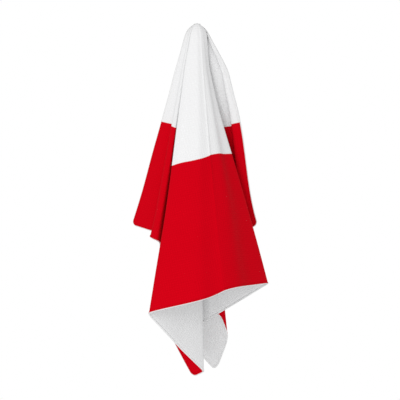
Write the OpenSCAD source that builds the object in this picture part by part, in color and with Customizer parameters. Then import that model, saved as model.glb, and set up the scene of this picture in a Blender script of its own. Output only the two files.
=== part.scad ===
// Golf towel hung by a loop at the middle of its long top edge.
// The cloth is a flat rectangle folded along straight lines that all meet at the hanging point,
// so a point of the flat cloth at distance r from that point, in direction theta from straight
// down, lies at distance r along the fold line of the same theta. The fold path below gives the
// direction of every fold line. Origin at the top of the loop's eye, +Z up, front towards -Y.

/* [Cloth] */
// Length of the cut towel along its top edge
towel_w = 610; // [560:5:640]
// Drop of the cut towel from its top edge to its bottom edge
towel_h = 406; // [380:2:420]
// Thickness of the waffle cloth
cloth_t = 1.6; // [1.2:0.1:1.8]
// Radius of the rounded gather at the top, before the folds open out
gather = 55; // [50:1:60]

/* [Edge] */
// Width of the overlocked thread band around the edge
edge_w = 3; // [2:0.5:4]
// How much thicker than the cloth the thread band is
edge_extra = 0.5; // [0.2:0.1:0.8]

/* [Hanging loop] */
// Width of the loop's tape
tape_w = 10; // [8:1:12]
// Thickness of the loop's tape
tape_t = 1.2; // [0.8:0.1:1.4]
// Inner radius of the loop's eye
eye_r = 5; // [4:0.5:5.5]
// Length of the two sewn-down tape ends
tail_l = 15; // [12:1:16]

/* [Hidden] */

// Where the middle of the cloth's top edge lies, in front of the loop
apex = [0, -24, 1];
half_w = towel_w / 2;
// How quickly the gather fills out below the top, and how slowly it then dies away
gather_up = 8;
gather_down = 60;
// The stretch below the top over which the cloth's free top edge bows sideways
bow_full = 80;
bow_fade = 120;
bow_end = 300;

// The fold path, from the top left corner to the top right corner, seen from above. Each row is
// a fold or a bend: degrees to the right and degrees to the back from straight down, how much of
// the neighbouring stretches its rounding takes, how full the cloth hangs there, and its bow.
folds = [
    [-18.1, 6, 0.25, 1.018, -5],
    [-11, 0.5, 0.3, 1.005, -4],
    [-12.6, -3.6, 0.35, 1.02, -3],
    [-9.7, -5.8, 0.35, 1.02, -3],
    [-8.7, 8.6, 0.3, 1, 0],
    [1.2, 12.6, 0.18, 1, 0],
    [-6.6, 5, 0.22, 0.99, 0],
    [1.5, 1.6, 0.16, 1.03, 0],
    [-3, -2.6, 0.45, 1.015, 0],
    [-9.6, -8.6, 0.22, 0.985, -4],
    [-6, -10.5, 0.45, 0.985, -3],
    [0, -11.5, 0.45, 0.985, 0],
    [3.4, -10, 0.45, 0.975, 0],
    [7, -9.5, 0.45, 0.956, 0],
    [16.4, 4, 0.2, 0.953, -5],
    [-0.5, 6.8, 0.18, 0.985, 0],
    [4.3, 9.3, 0.4, 0.9, 0],
    [5.9, 10.6, 0.3, 0.975, 0],
    [3, 13.2, 0.35, 1.06, 0],
    [-4.9, 15.9, 0.22, 1.08, 0],
    [8, 16.9, 0.2, 1, 4],
    [2.4, 19.2, 0.22, 1, 4],
    [10.4, 20.4, 0.3, 1, 8],
    [6, 10, 0.3, 1.01, 8],
    [15.5, 11, 0.2, 1.045, 16],
    [13, 7.8, 0.25, 1.02, 16],
    [17.1, 8, 0.3, 1.02, 20]
];
last_fold = len(folds) - 1;
corner_steps = 6;

// The rounded fold path: a quadratic curve at each fold
function mix(a, b, k) = a * (1 - k) + b * k;
function rounded(a, b, c, q) = [
    for (i = [0 : corner_steps])
        let (k = i / corner_steps)
        mix(mix(mix(b, a, q), b, k), mix(b, mix(b, c, q), k), k)
];
bends = [for (i = [1 : last_fold - 1]) rounded(folds[i - 1], folds[i], folds[i + 1], folds[i][2])];
path = concat([folds[0]], [for (bend = bends) for (p = bend) p], [folds[last_fold]]);

// Running angle along the fold path, which is the cloth's own angle theta
function direction(p) = let (v = [tan(p[0]), tan(p[1]), -1]) v / norm(v);
function turn(a, b) = 2 * asin(norm(direction(a) - direction(b)) / 2);
turns = [for (i = [0 : len(path) - 1]) i == 0 ? 0 : turn(path[i - 1], path[i])];
running = [
    for (i = 0, total = 0; i < len(path); i = i + 1, total = total + (i < len(path) ? turns[i] : 0))
        total
];
spread_angle = running[len(path) - 1];
theta_at = [for (a = running) 180 * a / spread_angle - 90];
right_at = [for (i = [0 : len(path) - 1]) [theta_at[i], path[i][0]]];
back_at = [for (i = [0 : len(path) - 1]) [theta_at[i], path[i][1]]];
full_at = [for (i = [0 : len(path) - 1]) [theta_at[i], path[i][3]]];
bow_at = [for (i = [0 : len(path) - 1]) [theta_at[i], path[i][4]]];

// From the flat cloth to its hung shape
function ease(k) = let (c = max(0, min(1, k))) c * c * (3 - 2 * c);
function bow(r) = ease(r / bow_full) * (1 - ease((r - bow_fade) / (bow_end - bow_fade)));
function gathered(r) = gather * (1 - exp(-r / gather_up)) * exp(-r / gather_down);
function hung(r, theta) =
    let (
        d = direction([lookup(theta, right_at), lookup(theta, back_at)]),
        along = r * lookup(theta, full_at),
        across = along + gathered(r)
    )
    apex + [across * d[0] + lookup(theta, bow_at) * bow(r), across * d[1], along * d[2]];
function placed(u, v) = hung(norm([u, v]), atan2(u, v));

// The cloth's unit normal, out of its plain reverse side
probe = 0.5;
function normal(u, v) =
    let (n = cross(placed(u + probe, v) - placed(u - probe, v), placed(u, v + probe) - placed(u, v - probe)))
    n / norm(n);
// The layers thin out towards the gathered top, where they crowd together: this is how thick a
// layer may be for each mm of distance out along its fold line
crowding = 0.017;
function thickness(u, v, full) =
    let (r = norm([u, v]))
    min(full, crowding * (r + gathered(r)));
function skin(u, v, full, side) = placed(u, v) + normal(u, v) * side * thickness(u, v, full) / 2;

// Flat grid of the cloth inside its thread band: columns turn from the left half of the top edge
// to the right half, and rows run out from the hanging point to the edge
columns = 150;
rows = 13;
first_r = 2;
// Rows crowd towards the hanging point by this power, and the top edge drops to its band early
row_crowding = 1.4;
band_entry = 0.3;
// The smallest cosine or sine that a direction is divided by
least = 0.001;
inner_w = half_w - edge_w;
inner_h = towel_h - edge_w;
function reach(theta, w, h) = min(h / max(cos(theta), least), w / max(abs(sin(theta)), least));
function column_theta(i) = -90 + 180 * i / columns;
function grid_point(i, j) =
    let (
        theta = column_theta(i),
        out = mix(first_r, reach(theta, inner_w, inner_h), pow(j / rows, row_crowding)),
        below_band = i == 0 || i == columns ? edge_w * pow(j / rows, band_entry) : 0
    )
    [out * sin(theta), max(out * cos(theta), below_band)];

module sheet(full) {
    count = (columns + 1) * (rows + 1);
    flat = [for (i = [0 : columns]) for (j = [0 : rows]) grid_point(i, j)];
    points = concat([for (p = flat) skin(p[0], p[1], full, 1)], [for (p = flat) skin(p[0], p[1], full, -1)]);
    function at(i, j) = i * (rows + 1) + j;
    reverse_side = [
        for (i = [0 : columns - 1]) for (j = [0 : rows - 1])
            for (t = [[at(i, j), at(i + 1, j), at(i + 1, j + 1)], [at(i, j), at(i + 1, j + 1), at(i, j + 1)]]) t
    ];
    printed_side = [for (t = reverse_side) [t[2] + count, t[1] + count, t[0] + count]];
    rim = concat(
        [for (i = [0 : columns]) at(i, 0)],
        [for (j = [1 : rows]) at(columns, j)],
        [for (i = [columns - 1 : -1 : 0]) at(i, rows)],
        [for (j = [rows - 1 : -1 : 1]) at(0, j)]
    );
    edge = [
        for (k = [0 : len(rim) - 1])
            let (a = rim[k], b = rim[(k + 1) % len(rim)])
            for (t = [[b, a, a + count], [b, a + count, b + count]]) t
    ];
    polyhedron(points, concat(reverse_side, printed_side, edge), convexity = 20);
}

// Outline of the cut towel as pairs of an outer and an inner flat point, all the way round
outline_rows = 16;
// How far the band's inner edge runs past the cloth's edge
sewn_over = 0.1;
function top_pair(u) = [[u, 0], [sign(u) * min(abs(u), inner_w), edge_w]];
outline = concat(
    [
        for (i = [1 : columns - 1])
            let (t = column_theta(i), a = [sin(t), cos(t)])
            [a * reach(t, half_w, towel_h), a * (reach(t, inner_w, inner_h) + sewn_over)]
    ],
    [for (j = [outline_rows : -1 : 1]) top_pair(half_w * pow(j / outline_rows, row_crowding))],
    [for (j = [1 : outline_rows]) top_pair(-half_w * pow(j / outline_rows, row_crowding))]
);

module band(full) {
    ring = [
        for (pair = outline) for (side = [1, -1]) for (p = side > 0 ? pair : [pair[1], pair[0]])
            skin(p[0], p[1], full, side)
    ];
    n = len(outline);
    faces = [
        for (k = [0 : n - 1]) for (e = [0 : 3])
            let (
                a = 4 * k + e,
                b = 4 * k + (e + 1) % 4,
                c = 4 * ((k + 1) % n) + (e + 1) % 4,
                d = 4 * ((k + 1) % n) + e
            )
            for (t = [[a, b, c], [a, c, d]]) t
    ];
    polyhedron(ring, faces, convexity = 20);
}

module towel_cloth() {
    color("firebrick") sheet(cloth_t);
}

module edge_overlock() {
    color("white") band(cloth_t + edge_extra);
}

// The loop is one tape folded round its eye, with its two ends sewn down on the gathered top
eye_z = -eye_r;
outer_r = eye_r + tape_t;
tail_z = eye_z + outer_r - 2 * tape_t;
module loop_profile() {
    difference() {
        union() {
            circle(r = outer_r, $fn = 48);
            translate([-outer_r - tail_l, outer_r - 2 * tape_t]) square([outer_r + tail_l, 2 * tape_t]);
        }
        circle(r = eye_r, $fn = 48);
    }
}

module hanging_loop() {
    color("whitesmoke")
        translate([-tape_w / 2, 0, eye_z])
            rotate([90, 0, 90])
                linear_extrude(height = tape_w) loop_profile();
}

// Two bar tacks across the tape's sewn ends
tack_w = 1.4;
tack_h = 0.5;
tack_gap = 7;
// How far the tacks stay in from the tape's ends and its two selvedges
tack_end = 3;
tack_inset = 0.75;
module bar_tack() {
    translate([0, 0, tack_h / 2])
        rotate([0, 90, 0])
            cylinder(r = tack_w / 2, h = tape_w - 2 * tack_inset, center = true, $fn = 24);
}

module loop_stitching() {
    color("gainsboro")
        for (k = [0, 1])
            translate([0, -outer_r - tail_l + tack_end + k * tack_gap, tail_z + 2 * tape_t]) bar_tack();
}

towel_cloth();
edge_overlock();
hanging_loop();
loop_stitching();
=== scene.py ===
"""Golf towel hung by a loop at the middle of its long top edge.

The cloth is laid out flat and then hung: every point keeps its distance from the hanging point
and moves out along the fold line of its own direction, as the CAD model does. Sizes in the flat
cloth are millimetres; what is handed to Blender is metres.
"""
import math

import bpy
import numpy as np
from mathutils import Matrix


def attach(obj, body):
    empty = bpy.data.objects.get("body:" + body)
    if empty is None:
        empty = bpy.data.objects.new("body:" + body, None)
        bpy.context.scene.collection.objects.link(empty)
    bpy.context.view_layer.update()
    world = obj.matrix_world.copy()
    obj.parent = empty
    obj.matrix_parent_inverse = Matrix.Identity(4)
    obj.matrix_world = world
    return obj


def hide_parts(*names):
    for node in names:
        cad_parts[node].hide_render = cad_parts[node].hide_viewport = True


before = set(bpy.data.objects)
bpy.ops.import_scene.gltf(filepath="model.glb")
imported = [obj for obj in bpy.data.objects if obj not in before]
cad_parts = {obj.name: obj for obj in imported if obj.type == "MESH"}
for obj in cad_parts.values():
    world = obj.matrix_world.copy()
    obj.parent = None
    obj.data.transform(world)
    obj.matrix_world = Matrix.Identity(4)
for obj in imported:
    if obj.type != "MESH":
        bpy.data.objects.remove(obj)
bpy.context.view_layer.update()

MM = 0.001
TOWEL_W, TOWEL_H, CORNER_R = 610.0, 406.0, 8.0
CLOTH_T = 1.6
# Where the middle of the cloth's top edge hangs, in front of the loop
APEX = np.array([0.0, -24.0, 1.0])
# The rounded gather below the top, and how quickly it fills out and dies away
GATHER, GATHER_UP, GATHER_DOWN = 55.0, 8.0, 60.0
# The stretch below the top over which the cloth's free top edge bows sideways
BOW_FULL, BOW_FADE, BOW_END = 80.0, 120.0, 300.0
# How thick the cloth may be for each mm out, where its layers crowd together at the top
CROWDING = 0.017
# The share of the space between two layers that may be filled, and the further space in mm over
# which ripples come to their full height
ROOM_SHARE, RIPPLE_ROOM = 0.9, 4.0
# The distance from the hanging point at which ripples come to their full height
RIPPLE_R = 260.0
# The ridge down the front panel, with a hollow on each side: its height, how many radians of wave
# for each radian of the cloth's angle, and the angle of its middle and its spread in radians
RIDGE_H, RIDGE_TURNS, RIDGE_AT, RIDGE_SPREAD = 2.2, 36.0, -0.04, 0.16
# Waves that fan out from the top: height, turns as above, phase, and mm outwards for each radian
FAN_WAVES = [(0.6, 21.0, 0.7, 160.0), (0.4, 41.0, 2.1, -90.0)]
# Waves across the cloth: height, mm to the right and mm down for each radian, and phase
CROSS_WAVES = [(0.35, 17.0, 41.0, 0.4), (0.3, -36.0, 23.0, 1.9)]
# The white block of the print: half its width, and its drop from the top edge
PRINT_HALF_W, PRINT_H = 147.5, 203.0
# The thread band: its width, how far it stands off the cloth, and the pitch of its stitches
EDGE_W, EDGE_RISE, STITCH = 3.0, 0.45, 2.6
# The pitch of the waffle's cells and of its threads
WAFFLE, THREAD = 3.4, 0.85

# The fold path from the top left corner to the top right corner: degrees right and back from
# straight down, how much of the neighbouring stretches each fold's rounding takes, how full the
# cloth hangs there, and how far its free edge bows sideways near the top.
FOLDS = [
    (-18.1, 6.0, 0.25, 1.018, -5),
    (-11.0, 0.5, 0.3, 1.005, -4),
    (-12.6, -3.6, 0.35, 1.02, -3),
    (-9.7, -5.8, 0.35, 1.02, -3),
    (-8.7, 8.6, 0.3, 1.0, 0),
    (1.2, 12.6, 0.18, 1.0, 0),
    (-6.6, 5.0, 0.22, 0.99, 0),
    (1.5, 1.6, 0.16, 1.03, 0),
    (-3.0, -2.6, 0.45, 1.015, 0),
    (-9.6, -8.6, 0.22, 0.985, -4),
    (-6.0, -10.5, 0.45, 0.985, -3),
    (0.0, -11.5, 0.45, 0.985, 0),
    (3.4, -10.0, 0.45, 0.975, 0),
    (7.0, -9.5, 0.45, 0.956, 0),
    (16.4, 4.0, 0.2, 0.953, -5),
    (-0.5, 6.8, 0.18, 0.985, 0),
    (4.3, 9.3, 0.4, 0.9, 0),
    (5.9, 10.6, 0.3, 0.975, 0),
    (3.0, 13.2, 0.35, 1.06, 0),
    (-4.9, 15.9, 0.22, 1.08, 0),
    (8.0, 16.9, 0.2, 1.0, 4),
    (2.4, 19.2, 0.22, 1.0, 4),
    (10.4, 20.4, 0.3, 1.0, 8),
    (6.0, 10.0, 0.3, 1.01, 8),
    (15.5, 11.0, 0.2, 1.045, 16),
    (13.0, 7.8, 0.25, 1.02, 16),
    (17.1, 8.0, 0.3, 1.02, 20),
]
FOLD_STEPS = 16
# How much of the columns' spacing follows the folds' turning, beside 1 for the cloth's own angle
TURN_SHARE = 0.6


# ---- the hung shape ----

def directions(right, back):
    """Unit vectors that point that many degrees right and back from straight down."""
    v = np.stack([np.tan(np.radians(right)), np.tan(np.radians(back)), -np.ones_like(right)], -1)
    return v / np.linalg.norm(v, axis=-1, keepdims=True)


def fold_path():
    """(theta, right, back, fullness, bow) along the rounded fold path."""
    rows = np.array(FOLDS, float)
    rounding, values = rows[:, 2], rows[:, [0, 1, 3, 4]]
    path = [values[0]]
    for i in range(1, len(rows) - 1):
        start = values[i] + (values[i - 1] - values[i]) * rounding[i]
        end = values[i] + (values[i + 1] - values[i]) * rounding[i]
        for k in np.linspace(0, 1, FOLD_STEPS + 1):
            path.append((1 - k) ** 2 * start + 2 * k * (1 - k) * values[i] + k * k * end)
    path.append(values[-1])
    path = np.array(path)
    lines = directions(path[:, 0], path[:, 1])
    turns = 2 * np.arcsin(np.linalg.norm(np.diff(lines, axis=0), axis=1) / 2)
    running = np.concatenate([[0], np.cumsum(turns)])
    return 180 * running / running[-1] - 90, path


THETA, PATH = fold_path()


def column_angles(count):
    """Angles of fold lines from one top corner to the other, closer together at tight folds."""
    steps = np.diff(directions(PATH[:, 0], PATH[:, 1]), axis=0)
    steps /= np.linalg.norm(steps, axis=1, keepdims=True)
    turning = np.arccos(np.clip((steps[1:] * steps[:-1]).sum(1), -1, 1))
    turned = np.concatenate([[0], np.cumsum(turning), [turning.sum()]])
    effort = (THETA + 90) / 180 + TURN_SHARE * turned / turned[-1]
    return np.interp(np.linspace(0, effort[-1], count), effort, THETA)


def fold_room(count=1600):
    """(theta, printed side, reverse side): how far each face may stand off the cloth's middle
    before it would meet a neighbouring layer, for each mm out along the fold line."""
    theta = column_angles(count)
    line = directions(np.interp(theta, THETA, PATH[:, 0]), np.interp(theta, THETA, PATH[:, 1]))
    facing = np.cross(line, np.gradient(line, axis=0))
    facing /= np.linalg.norm(facing, axis=1, keepdims=True)
    above = line @ facing.T - (line * facing).sum(1)
    apart = 2 - 2 * line @ line.T
    touching = apart / np.maximum(2 * np.abs(above), 1e-9)
    printed = np.where(above > 0, touching, 1).min(axis=0)
    reverse = np.where(above < 0, touching, 1).min(axis=0)
    return theta, printed, reverse


ROOM_THETA, ROOM_PRINTED, ROOM_REVERSE = fold_room()


def ease(k):
    """A smooth rise from 0 at k = 0 to 1 at k = 1."""
    k = np.clip(k, 0, 1)
    return k * k * (3 - 2 * k)


def gathered(r):
    """How much further out than r the gather carries a point."""
    return GATHER * (1 - np.exp(-r / GATHER_UP)) * np.exp(-r / GATHER_DOWN)


def placed(flat):
    """Where points of the flat cloth, (u right, v down) from the hanging point, hang."""
    u, v = flat[..., 0], flat[..., 1]
    r = np.hypot(u, v)
    theta = np.degrees(np.arctan2(u, v))
    right, back, full, bow = (np.interp(theta, THETA, PATH[:, i]) for i in range(4))
    line = directions(right, back)
    along = r * full
    across = along + gathered(r)
    side = bow * ease(r / BOW_FULL) * (1 - ease((r - BOW_FADE) / (BOW_END - BOW_FADE)))
    hung = [across * line[..., 0] + side, across * line[..., 1], along * line[..., 2]]
    return APEX + np.stack(hung, -1)


def normals(flat, probe=0.4):
    """Unit normals of the hung cloth, out of its printed face."""
    du, dv = np.array([probe, 0.0]), np.array([0.0, probe])
    n = np.cross(placed(flat + dv) - placed(flat - dv), placed(flat + du) - placed(flat - du))
    return n / np.maximum(np.linalg.norm(n, axis=-1, keepdims=True), 1e-9)


def room(flat):
    """How far the printed face and the reverse may stand off the cloth's middle, in mm."""
    r = np.hypot(flat[..., 0], flat[..., 1])
    theta = np.degrees(np.arctan2(flat[..., 0], flat[..., 1]))
    across = ROOM_SHARE * (r + gathered(r))
    return [across * np.interp(theta, ROOM_THETA, side) for side in (ROOM_PRINTED, ROOM_REVERSE)]


def ripples(flat):
    """Soft unevenness of the hung cloth, in mm along its normal."""
    u, v = flat[..., 0], flat[..., 1]
    r = np.hypot(u, v)
    theta = np.arctan2(u, v)
    envelope = np.exp(-((theta - RIDGE_AT) / RIDGE_SPREAD) ** 2)
    ridge = RIDGE_H * np.cos(theta * RIDGE_TURNS) * envelope
    fanned = sum(h * np.sin(theta * turns + at + r / out) for h, turns, at, out in FAN_WAVES)
    crossing = sum(h * np.sin(u / right + v / down + at) for h, right, down, at in CROSS_WAVES)
    return (ridge + fanned + crossing) * ease(r / RIPPLE_R)


def skin(flat, height):
    """Hung points at a height in mm above the cloth's middle, towards its printed face."""
    r = np.hypot(flat[..., 0], flat[..., 1])
    thin = np.minimum(1, CROWDING * (r + gathered(r)) / CLOTH_T)
    printed_room, reverse_room = room(flat)
    spare = np.minimum(printed_room, reverse_room) - CLOTH_T / 2
    free = np.clip(spare / RIPPLE_ROOM, 0, 1)
    lift = np.clip(height * thin, -reverse_room, printed_room) + ripples(flat) * free
    return placed(flat) + normals(flat) * lift[..., None]


# ---- meshes ----

def make_piece(name, points, faces, material, flat=None, printed=None):
    """A mesh object from points in mm. flat gives UVs in metres of cloth, printed the share of
    print colour at each point."""
    mesh = bpy.data.meshes.new(name)
    mesh.from_pydata((np.asarray(points) * MM).tolist(), [], faces)
    if flat is not None:
        corner = np.empty(len(mesh.loops), np.int64)
        mesh.loops.foreach_get("vertex_index", corner)
        layer = mesh.uv_layers.new(name="cloth")
        layer.data.foreach_set("uv", (np.asarray(flat)[corner] * MM).ravel())
    if printed is not None:
        attribute = mesh.attributes.new("printed", "FLOAT", "POINT")
        attribute.data.foreach_set("value", np.asarray(printed, float))
    mesh.polygons.foreach_set("use_smooth", [True] * len(mesh.polygons))
    mesh.materials.append(material)
    mesh.update()
    piece = bpy.data.objects.new(name, mesh)
    bpy.context.scene.collection.objects.link(piece)
    return piece


def grid_faces(columns, rows, start=0, flip=False, close=False):
    """Quads of a grid of points that run row by row within each column. close joins the last
    column to the first."""
    faces = []
    for i in range(columns if close else columns - 1):
        a, b = start + i * rows, start + (i + 1) % columns * rows
        for j in range(rows - 1):
            quad = (a + j, b + j, b + j + 1, a + j + 1)
            faces.append(quad[::-1] if flip else quad)
    return faces


def outside(flat, inset):
    """Signed distance in mm of flat points from the cut outline moved in by inset."""
    half = np.array([TOWEL_W / 2, TOWEL_H / 2])
    q = np.abs(flat - np.array([0, TOWEL_H / 2])) - (half - CORNER_R)
    corner = np.linalg.norm(np.maximum(q, 0), axis=-1) + np.minimum(q.max(axis=-1), 0) - CORNER_R
    return corner + inset


def fan(theta, r, inset, near=20.0):
    """Flat points at angle theta and distance r, kept inset inside the top edge beyond near."""
    edge = inset * (1 - np.cos(theta)) * np.minimum(1, r / near)
    return np.stack([r * np.sin(theta), r * np.cos(theta) + edge], -1)


def reach(theta, inset, halvings=40, tolerance=1e-4):
    """How far each fold line runs before it meets the outline moved in by inset."""
    low, high = np.zeros_like(theta), np.full_like(theta, TOWEL_W)
    for _ in range(halvings):
        middle = (low + high) / 2
        inside = outside(fan(theta, middle, inset), inset) <= tolerance
        low, high = np.where(inside, middle, low), np.where(inside, high, middle)
    return low


def make_cloth(material, columns=460, rows=104, first_r=0.4, row_crowding=1.25):
    """The waffle cloth, printed face and reverse, out to the middle of its thread band."""
    theta = np.radians(column_angles(columns))
    inset = EDGE_W * 0.5
    out = np.linspace(0, 1, rows) ** row_crowding
    r = first_r + (reach(theta, inset) - first_r)[:, None] * out[None, :]
    flat = fan(np.broadcast_to(theta[:, None], r.shape), r, inset).reshape(-1, 2)
    count = len(flat)
    points = np.concatenate([skin(flat, CLOTH_T / 2), skin(flat, -CLOTH_T / 2)])
    faces = grid_faces(columns, rows, flip=True) + grid_faces(columns, rows, start=count)
    rim = [i * rows for i in range(columns)]
    rim += [(columns - 1) * rows + j for j in range(1, rows)]
    rim += [i * rows + rows - 1 for i in range(columns - 2, -1, -1)]
    rim += [j for j in range(rows - 2, 0, -1)]
    faces += [(a, b, b + count, a + count) for a, b in zip(rim, rim[1:] + rim[:1])]
    printed = np.concatenate([np.ones(count), np.zeros(count)])
    both = np.tile(flat, (2, 1))
    return make_piece("towel_cloth_woven", points, faces, material, both, printed)


def cut_outline(step, corner_points=9):
    """Evenly spaced flat points round the cut outline: how far round each is, where it is, and
    its inward direction."""
    r = CORNER_R
    right, low = TOWEL_W / 2 - r, TOWEL_H - r
    points, inward = [], []
    for k, centre in enumerate([(right, low), (-right, low), (-right, r), (right, r)]):
        for angle in np.radians(90 * k + np.linspace(0, 90, corner_points)):
            out = np.array([math.cos(angle), math.sin(angle)])
            points.append(np.array(centre) + out * r)
            inward.append(-out)
    points, inward = np.array(points + points[:1]), np.array(inward + inward[:1])
    run = np.concatenate([[0], np.cumsum(np.linalg.norm(np.diff(points, axis=0), axis=1))])
    at = np.linspace(0, run[-1], int(run[-1] / step), endpoint=False)
    flat = np.stack([np.interp(at, run, points[:, i]) for i in range(2)], -1)
    into = np.stack([np.interp(at, run, inward[:, i]) for i in range(2)], -1)
    return at, flat, into / np.linalg.norm(into, axis=1, keepdims=True)


# The thread band's profile from its printed side over the rim to its reverse: how deep it reaches
# into the cloth as a share of its width, and its height as a share of its full height
BAND_PROFILE = [
    (1.0, 0.55), (0.85, 0.86), (0.5, 1.0), (0.15, 0.8), (0.0, 0.0),
    (0.15, -0.8), (0.5, -1.0), (0.85, -0.86), (1.0, -0.55),
]
# How much the band swells at each stitch, how far a stitch leans along the edge over the band's
# width as a share of its pitch, and how deep a row of the band lies to be inked
SWELL, LEAN, INKED_DEPTH = 0.14, 0.35, 0.4


def make_overlock(material):
    """The thread band: a rounded profile round the cut edge that swells at every stitch. Ink
    reaches its printed side but not its rim."""
    at, flat, into = cut_outline(STITCH / 4)
    points, flats, printed = [], [], []
    for depth, height in BAND_PROFILE:
        swollen = 1 + SWELL * np.cos(2 * np.pi * (at / STITCH + LEAN * depth))
        line = flat + into * EDGE_W * depth
        points.append(skin(line, height * (CLOTH_T / 2 + EDGE_RISE) * swollen))
        flats.append(line)
        printed.append(np.full(len(at), 1.0 if height > 0 and depth > INKED_DEPTH else 0.0))
    rows = len(BAND_PROFILE)
    points, flats = np.stack(points, 1).reshape(-1, 3), np.stack(flats, 1).reshape(-1, 2)
    faces = grid_faces(len(at), rows, close=True)
    for i in range(len(at)):
        a, b = i * rows, (i + 1) % len(at) * rows
        faces.append((b, a, a + rows - 1, b + rows - 1))
    printed = np.stack(printed, 1).ravel()
    return make_piece("edge_overlock_stitched", points, faces, material, flats, printed)


# ---- the hanging loop ----

TAPE_W, TAPE_T, EYE_R, TAIL_L = 10.0, 1.2, 5.0, 15.0
TAPE_END = -EYE_R - TAPE_T - TAIL_L
# How far the tape's sewn ends sink into the gathered cloth, and over which stretch in front of
# the eye they come to it
TAIL_DIP, DIP_START, DIP_LENGTH = 1.2, 5.0, 10.0
# The gap between the tape's two sewn ends
END_GAP = 0.05
# Bar tacks: how far in from the tape's ends they are, and their threads' number, radius, length,
# reach across the tape, height over the tape, and hump
TACKS = (3.0, 10.0)
TACK_THREADS, TACK_R, TACK_L, TACK_INSET, TACK_LIFT, TACK_HUMP = 16, 0.3, 1.5, 1.0, 0.12, 0.28
TACK_STEPS, TACK_SIDES = 6, 6


def dip(y):
    """How far the tape lies below its straight line at y."""
    return TAIL_DIP * ease((-y - DIP_START) / DIP_LENGTH)


def tape_route(top_end=-3.0, under_start=-7.2, eye_turn=300, points=(9, 40, 8)):
    """The tape's middle line in the (y, z) plane: in along the top, round the eye, and back."""
    eye = np.array([0.0, -EYE_R])
    top = [(y, TAPE_T / 2 - dip(y)) for y in np.linspace(TAPE_END, top_end, points[0])]
    turn = [
        eye + (EYE_R + TAPE_T / 2) * np.array([math.sin(a), math.cos(a)])
        for a in np.radians(np.linspace(0, eye_turn, points[1]))
    ]
    under = [
        (y, -TAPE_T / 2 - END_GAP - dip(y))
        for y in np.linspace(under_start, TAPE_END, points[2])
    ]
    return np.array([*top, *turn, *under])


def sweep_tape(route, across=9, selvedge=0.55):
    """Points and faces of a flat woven tape along the route, whose selvedges are thinner by the
    share selvedge."""
    ahead = np.gradient(route, axis=0)
    ahead /= np.linalg.norm(ahead, axis=1, keepdims=True)
    up = np.stack([-ahead[:, 1], ahead[:, 0]], -1)
    side = np.linspace(-1, 1, across)
    half_t = TAPE_T / 2 * (1 - selvedge * np.abs(side) ** 6)
    profile = [*zip(side, half_t), *zip(side[::-1], -half_t[::-1])]
    points = []
    for (y, z), (uy, uz) in zip(route, up):
        points += [(s * TAPE_W / 2, y + uy * h, z + uz * h) for s, h in profile]
    ring = len(profile)
    faces = []
    for i in range(len(route) - 1):
        for j in range(ring):
            k = (j + 1) % ring
            faces.append((i * ring + j, i * ring + k, (i + 1) * ring + k, (i + 1) * ring + j))
    last = (len(route) - 1) * ring
    faces += [tuple(reversed(range(ring))), tuple(last + j for j in range(ring))]
    return points, faces


def make_loop(material):
    """The hanging loop: one tape round its eye."""
    points, faces = sweep_tape(tape_route())
    return make_piece("hanging_loop_tape", points, faces, material)


def make_tacks(material):
    """Two bar tacks: short threads packed side by side across the tape."""
    points, faces = [], []
    reach_x = TAPE_W / 2 - TACK_INSET
    round_thread = np.radians(np.arange(TACK_SIDES) * 360 / TACK_SIDES)
    for middle in (TAPE_END + inset for inset in TACKS):
        for x in np.linspace(-reach_x, reach_x, TACK_THREADS):
            start = len(points)
            for k in np.linspace(-1, 1, TACK_STEPS + 1):
                y = middle + k * TACK_L / 2
                z = TAPE_T - dip(middle) + TACK_LIFT + TACK_HUMP * (1 - k * k)
                points += [(x + TACK_R * math.cos(a), y, z + TACK_R * math.sin(a)) for a in round_thread]
            for i in range(TACK_STEPS):
                a, b = start + i * TACK_SIDES, start + (i + 1) * TACK_SIDES
                for j in range(TACK_SIDES):
                    k = (j + 1) % TACK_SIDES
                    faces.append((b + j, b + k, a + k, a + j))
            last = start + TACK_STEPS * TACK_SIDES
            faces.append(tuple(start + j for j in range(TACK_SIDES)))
            faces.append(tuple(last + j for j in reversed(range(TACK_SIDES))))
    return make_piece("loop_bar_tacks", points, faces, material)


# ---- materials ----

# Print and reverse, the darker ridges of the cells, and the paler clouds
PRINT_WHITE = (0.80, 0.80, 0.805, 1)
REVERSE_WHITE = (0.78, 0.78, 0.785, 1)
RIDGE_WHITE = (0.70, 0.70, 0.71, 1)
CLOUD_WHITE = (0.86, 0.86, 0.86, 1)
PRINT_RED = (0.585, 0.0002, 0.0068, 1)
PRINT_RED_DEEP = (0.48, 0.0002, 0.0046, 1)
CLOUD_RED = (0.64, 0.0003, 0.010, 1)
BAND_WHITE, BAND_GREY = (0.84, 0.84, 0.84, 1), (0.74, 0.74, 0.75, 1)
BAND_RED, BAND_RED_DEEP = (0.62, 0.0003, 0.0072, 1), (0.48, 0.0002, 0.0048, 1)
TAPE_PALE, TAPE_RIB, TAPE_WORN = (0.83, 0.82, 0.79, 1), (0.70, 0.69, 0.66, 1), (0.68, 0.67, 0.65, 1)
TACK_WHITE, TACK_GREY = (0.80, 0.80, 0.80, 1), (0.68, 0.68, 0.69, 1)
FLOOR_PALE, FLOOR_LIGHT = (0.80, 0.80, 0.80, 1), (0.84, 0.84, 0.84, 1)
# How far from its line the print's edge blurs on the cloth and on the thread band, and how far
# it wanders as ink does between threads, all in metres
CLOTH_BLUR, BAND_BLUR, INK_WANDER = 0.0005, 0.0004, 0.0012
SPECULAR, SHEEN, SHEEN_ROUGHNESS = 0.01, 0.01, 0.5


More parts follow.
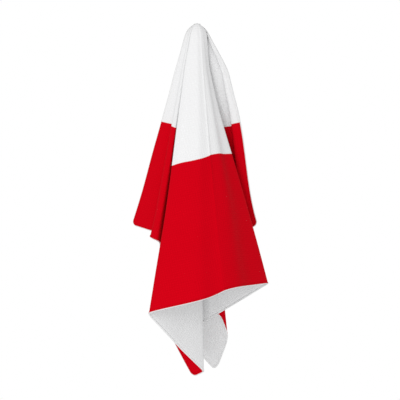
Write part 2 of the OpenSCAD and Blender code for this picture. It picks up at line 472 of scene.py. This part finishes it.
class Nodes:
    """A short way to build a node tree: values and sockets go straight into inputs. An input is
    named with _ for a space, or i and its number."""

    def __init__(self, material):
        material.use_nodes = True
        self.tree = material.node_tree
        self.tree.nodes.clear()

    def add(self, kind, settings=None, **inputs):
        node = self.tree.nodes.new(kind)
        for name, value in (settings or {}).items():
            setattr(node, name, value)
        for name, value in inputs.items():
            key = int(name[1:]) if name[0] == "i" and name[1:].isdigit() else name.replace("_", " ")
            socket = node.inputs[key]
            if isinstance(value, bpy.types.NodeSocket):
                self.tree.links.new(value, socket)
            else:
                socket.default_value = value
        return node

    def math(self, operation, a, b=0.0, c=0.0):
        return self.add("ShaderNodeMath", {"operation": operation}, i0=a, i1=b, i2=c).outputs[0]

    def mix(self, factor, a, b):
        node = self.add("ShaderNodeMix", {"data_type": "RGBA"})
        for key, value in ((0, factor), (6, a), (7, b)):
            if isinstance(value, bpy.types.NodeSocket):
                self.tree.links.new(value, node.inputs[key])
            else:
                node.inputs[key].default_value = value
        return node.outputs[2]

    def noise(self, vector, scale, detail=3.0, roughness=0.55):
        node = self.add(
            "ShaderNodeTexNoise", Vector=vector, Scale=scale, Detail=detail, Roughness=roughness
        )
        return node.outputs["Fac"]

    def wave(self, coordinate, pitch):
        """A sine along a coordinate in metres, with its pitch in mm."""
        return self.math("SINE", self.math("MULTIPLY", coordinate, 2 * math.pi / (pitch * MM)))

    def finish(self, color, roughness, height, strength, distance, sheen=SHEEN):
        """A soft matt shader with relief from height."""
        bump = self.add("ShaderNodeBump", Height=height, Strength=strength, Distance=distance)
        shader = self.add(
            "ShaderNodeBsdfPrincipled", Base_Color=color, Roughness=roughness, Normal=bump.outputs[0]
        )
        shader.inputs["Sheen Weight"].default_value = sheen
        shader.inputs["Sheen Roughness"].default_value = SHEEN_ROUGHNESS
        shader.inputs["Specular IOR Level"].default_value = SPECULAR
        self.add("ShaderNodeOutputMaterial", Surface=shader.outputs[0])


def new_material(name):
    """A material and its node builder."""
    material = bpy.data.materials.new(name)
    return material, Nodes(material)


def cloth_coordinates(n):
    """The flat cloth's coordinates in metres: their vector, u to the right and v down."""
    uv = n.add("ShaderNodeUVMap", {"uv_map": "cloth"}).outputs[0]
    split = n.add("ShaderNodeSeparateXYZ", Vector=uv)
    return uv, split.outputs[0], split.outputs[1]


def waffle_height(n, u, v):
    """0 in a waffle cell's pit to 1 on the ridges round it."""
    waves = []
    for coordinate in (u, v):
        turn = n.math("MULTIPLY", coordinate, math.pi / (WAFFLE * MM))
        waves.append(n.math("ABSOLUTE", n.math("SINE", turn)))
    pit = n.math("MULTIPLY", waves[0], waves[1])
    return n.math("SUBTRACT", 1.0, n.math("POWER", pit, 0.7))


def red_share(n, uv, u, v, blur):
    """Where the print is red: 0 in the white block at the middle of the top edge, 1 round it."""
    wander = n.math("MULTIPLY", n.math("SUBTRACT", n.noise(uv, 900.0, 2.0), 0.5), INK_WANDER)
    side = n.math("SUBTRACT", n.math("ABSOLUTE", u), PRINT_HALF_W * MM)
    down = n.math("SUBTRACT", v, PRINT_H * MM)
    edge = n.math("ADD", n.math("MAXIMUM", side, down), wander)
    return n.add(
        "ShaderNodeMapRange", {"interpolation_type": "SMOOTHSTEP"},
        Value=edge, From_Min=-blur, From_Max=blur, To_Min=0.0, To_Max=1.0,
    ).outputs[0]


def waffle_material():
    """Matt waffle weave, printed on its face and white on its reverse, a little cloudy, with the
    cells' ridges darker than their pits."""
    material, n = new_material("waffle_cloth")
    uv, u, v = cloth_coordinates(n)
    cells = waffle_height(n, u, v)
    threads = n.math("MULTIPLY", n.wave(u, THREAD), n.wave(v, THREAD))
    fuzz = n.noise(uv, 1500.0, 3.0)
    cloudy = n.noise(uv, 14.0, 4.0)
    printed = n.add("ShaderNodeAttribute", {"attribute_name": "printed"}).outputs["Fac"]
    face = n.math("GREATER_THAN", printed, 0.5)
    red = n.math("MULTIPLY", red_share(n, uv, u, v, CLOTH_BLUR), face)
    ink = n.mix(n.math("MULTIPLY", cells, 0.55), PRINT_RED, PRINT_RED_DEEP)
    ink = n.mix(n.math("MULTIPLY", cloudy, 0.35), ink, CLOUD_RED)
    plain = n.mix(face, REVERSE_WHITE, PRINT_WHITE)
    plain = n.mix(n.math("MULTIPLY", cells, 0.16), plain, RIDGE_WHITE)
    plain = n.mix(n.math("MULTIPLY", cloudy, 0.12), plain, CLOUD_WHITE)
    color = n.mix(red, plain, ink)
    rough = n.math("ADD", 0.72, n.math("MULTIPLY", fuzz, 0.2))
    height = n.math("ADD", cells, n.math("MULTIPLY", threads, 0.10))
    height = n.math("ADD", height, n.math("MULTIPLY", fuzz, 0.22))
    n.finish(color, rough, height, 0.5, 0.0004)
    return material


def overlock_material():
    """Soft overlocked thread, inked where the print runs onto it."""
    material, n = new_material("overlock_thread")
    uv, u, v = cloth_coordinates(n)
    strands = n.wave(n.math("ADD", u, v), 0.65)
    fuzz = n.noise(uv, 1800.0, 3.0)
    printed = n.add("ShaderNodeAttribute", {"attribute_name": "printed"}).outputs["Fac"]
    inked = n.add("ShaderNodeMapRange", Value=printed, From_Min=0.35, From_Max=0.75).outputs[0]
    red = n.math("MULTIPLY", red_share(n, uv, u, v, BAND_BLUR), inked)
    pale = n.mix(n.math("MULTIPLY", fuzz, 0.5), BAND_WHITE, BAND_GREY)
    ink = n.mix(n.math("MULTIPLY", fuzz, 0.6), BAND_RED, BAND_RED_DEEP)
    color = n.mix(red, pale, ink)
    rough = n.math("ADD", 0.6, n.math("MULTIPLY", fuzz, 0.25))
    height = n.math("ADD", n.math("MULTIPLY", strands, 0.5), n.math("MULTIPLY", fuzz, 0.4))
    n.finish(color, rough, height, 0.6, 0.0002)
    return material


def tape_material():
    """A herringbone cotton tape, slightly yellower than the cloth, and greyer where it rubs."""
    material, n = new_material("loop_tape")
    place = n.add("ShaderNodeTexCoord").outputs["Object"]
    split = n.add("ShaderNodeSeparateXYZ", Vector=place)
    x, y, z = split.outputs[0], split.outputs[1], split.outputs[2]
    zigzag = n.math("PINGPONG", x, 0.0016)
    along = n.math("ADD", n.math("ADD", y, z), n.math("MULTIPLY", zigzag, 1.2))
    ribs = n.wave(along, 0.7)
    fuzz = n.noise(place, 2200.0, 3.0)
    wear = n.noise(place, 180.0, 4.0)
    color = n.mix(n.math("MULTIPLY", ribs, 0.12), TAPE_PALE, TAPE_RIB)
    color = n.mix(n.math("MULTIPLY", wear, 0.25), color, TAPE_WORN)
    rough = n.math("ADD", 0.7, n.math("MULTIPLY", fuzz, 0.2))
    height = n.math("ADD", n.math("MULTIPLY", ribs, 0.6), n.math("MULTIPLY", fuzz, 0.3))
    n.finish(color, rough, height, 0.7, 0.0002)
    return material


def tack_material():
    """Twisted sewing thread."""
    material, n = new_material("tack_thread")
    place = n.add("ShaderNodeTexCoord").outputs["Object"]
    split = n.add("ShaderNodeSeparateXYZ", Vector=place)
    strands = n.wave(n.math("ADD", split.outputs[0], split.outputs[1]), 0.3)
    fuzz = n.noise(place, 2500.0, 2.0)
    color = n.mix(fuzz, TACK_WHITE, TACK_GREY)
    rough = n.math("ADD", 0.45, n.math("MULTIPLY", fuzz, 0.2))
    n.finish(color, rough, strands, 0.5, 0.0001)
    return material


# ---- pieces ----

cloth = make_cloth(waffle_material())
overlock = make_overlock(overlock_material())
loop = make_loop(tape_material())
tacks = make_tacks(tack_material())

for piece, node, slot in (
    (cloth, "towel_cloth", "waffle_cloth"),
    (overlock, "edge_overlock", "overlock_thread"),
    (loop, "hanging_loop", "loop_tape"),
    (tacks, "loop_stitching", "tack_thread"),
):
    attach(piece, "root")
    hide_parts(node)


# ---- floor, light and camera ----

# All in metres: how far the camera stands in front of the towel, how wide a view it has there, and
# the (x, z) at the middle of it
CAMERA_DISTANCE, VIEW_WIDTH, VIEW_CENTRE = 2.0, 0.5806, (0.0043, -0.2559)
SENSOR = 36.0
FLOOR_Z, FLOOR_R = -1.0, 1.6
# The surround as the camera sees it, and as it lights the towel
SURROUND_SEEN, SURROUND_LIGHT = 1.0, 0.79
# Lamps: name, place, and power in watts
LAMP_SIZE = 0.7
LAMPS = [
    ("key", (-0.8, -1.7, 0.2), 6.0),
    ("fill", (-0.2, -1.9, -0.8), 9.0),
]


def make_floor():
    bpy.ops.mesh.primitive_circle_add(
        vertices=96, radius=FLOOR_R, fill_type="NGON", location=(0, 0, FLOOR_Z)
    )
    floor = bpy.context.object
    floor.name = "floor"
    material, n = new_material("pale_floor")
    place = n.add("ShaderNodeTexCoord").outputs["Object"]
    color = n.mix(n.noise(place, 6.0), FLOOR_PALE, FLOOR_LIGHT)
    n.finish(color, 0.7, n.noise(place, 90.0), 0.1, 0.001, sheen=0.0)
    floor.data.materials.append(material)


def make_lamp(name, location, power):
    """A square soft lamp aimed at the middle of the towel."""
    lamp = bpy.data.objects.new(name, bpy.data.lights.new(name, "AREA"))
    lamp.data.size = LAMP_SIZE
    lamp.data.energy = power
    lamp.location = location
    aim = np.array([0, 0, VIEW_CENTRE[1]]) - np.array(location)
    lamp.rotation_euler = (
        math.atan2(math.hypot(aim[0], aim[1]), -aim[2]),
        0,
        math.atan2(aim[1], aim[0]) - math.pi / 2,
    )
    bpy.context.scene.collection.objects.link(lamp)


def make_world():
    """A white surround."""
    world = bpy.data.worlds.new("studio")
    n = Nodes(world)
    looking = n.add("ShaderNodeLightPath").outputs["Is Camera Ray"]
    extra = n.math("MULTIPLY", looking, SURROUND_SEEN - SURROUND_LIGHT)
    amount = n.math("ADD", extra, SURROUND_LIGHT)
    background = n.add("ShaderNodeBackground", Color=(1, 1, 1, 1), Strength=amount)
    n.add("ShaderNodeOutputWorld", Surface=background.outputs[0])
    bpy.context.scene.world = world


def make_camera():
    camera = bpy.data.objects.new("camera", bpy.data.cameras.new("camera"))
    camera.data.sensor_width = SENSOR
    camera.data.lens = SENSOR * CAMERA_DISTANCE / VIEW_WIDTH
    camera.location = (VIEW_CENTRE[0], APEX[1] * MM - CAMERA_DISTANCE, VIEW_CENTRE[1])
    camera.rotation_euler = (math.pi / 2, 0, 0)
    bpy.context.scene.collection.objects.link(camera)
    bpy.context.scene.camera = camera


make_floor()
make_world()
for lamp in LAMPS:
    make_lamp(*lamp)
make_camera()
bpy.context.scene.view_settings.view_transform = "Standard"
